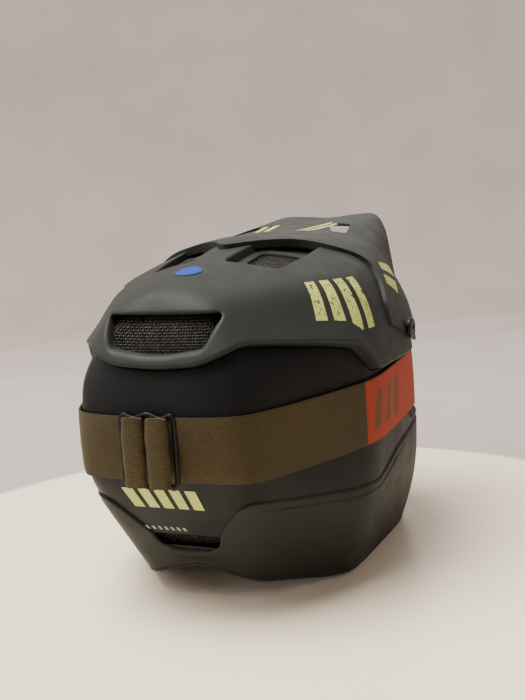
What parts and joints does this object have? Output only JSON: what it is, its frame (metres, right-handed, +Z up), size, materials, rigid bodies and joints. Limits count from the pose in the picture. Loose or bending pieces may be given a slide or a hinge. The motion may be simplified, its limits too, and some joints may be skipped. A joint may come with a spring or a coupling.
{
  "type": "full-face helmet with goggles",
  "caption": "Full-face gravity helmet in the motocross style with peak, vents, liner, pads and chin strap, and goggles worn on it by a wide elastic strap.",
  "frame": {"origin": "on the table under the middle of the object, level with the lowest edge of the bottom trim", "axes": "+Z up, -Y is the way the helmet looks, +X is the wearer's left"},
  "size_m": [0.255, 0.3914, 0.2798],
  "materials": {
    "shell": "matte lacquered moulding, grey-green",
    "black_plastic": "fine grained black moulding",
    "foam": "expanded foam, dark",
    "wire": "black painted woven wire",
    "rubber_edge": "soft black edging",
    "badge_blue": "blue disc",
    "padding": "brushed black padding cloth",
    "webbing": "black woven webbing",
    "steel": "plated steel",
    "lens": "grey tinted lens",
    "elastic": "olive woven elastic"
  },
  "bodies": {
    "helmet": {"outer_shell": "shell", "visor_screw_left": "black_plastic", "visor_screw_right": "black_plastic", "foam_liner": "foam", "chin_bar_foam": "foam", "rear_vent_mesh": "wire", "crown_vent_mesh_rear_right": "wire", "crown_vent_mesh_rear_left": "wire", "crown_vent_mesh_front_right": "wire", "crown_vent_mesh_front_left": "wire", "mouth_grille": "black_plastic", "eye_port_trim": "rubber_edge", "bottom_trim": "rubber_edge", "badge": "badge_blue", "crown_pad": "padding", "cheek_pad_left": "padding", "cheek_pad_right": "padding", "neck_roll": "padding", "strap_rivet_left": "steel", "strap_rivet_right": "steel", "goggle_frame": "black_plastic", "goggle_lens": "lens", "goggle_foam": "padding", "goggle_outrigger_left": "black_plastic", "goggle_outrigger_right": "black_plastic", "goggle_strap": "elastic", "strap_slider": "black_plastic", "strap_fold_left": "elastic", "strap_fold_right": "elastic"},
    "visor": {"visor": "shell"},
    "chin_strap": {"chin_strap_short": "webbing", "chin_strap_long": "webbing", "chin_strap_tail": "webbing", "d_ring_upper": "steel", "d_ring_lower": "steel"}
  },
  "joints": [
    {"name": "visor_tilt", "type": "hinge", "parent": "helmet", "child": "visor", "pos_m": [0, -0.03397, 0.186], "axis": [1, 0, 0], "range_deg": [0, 5]},
    {"name": "chin_strap_swing", "type": "hinge", "parent": "helmet", "child": "chin_strap", "pos_m": [0, 0.04503, 0.064], "axis": [1, 0, 0], "range_deg": [-20, 25]}
  ]
}
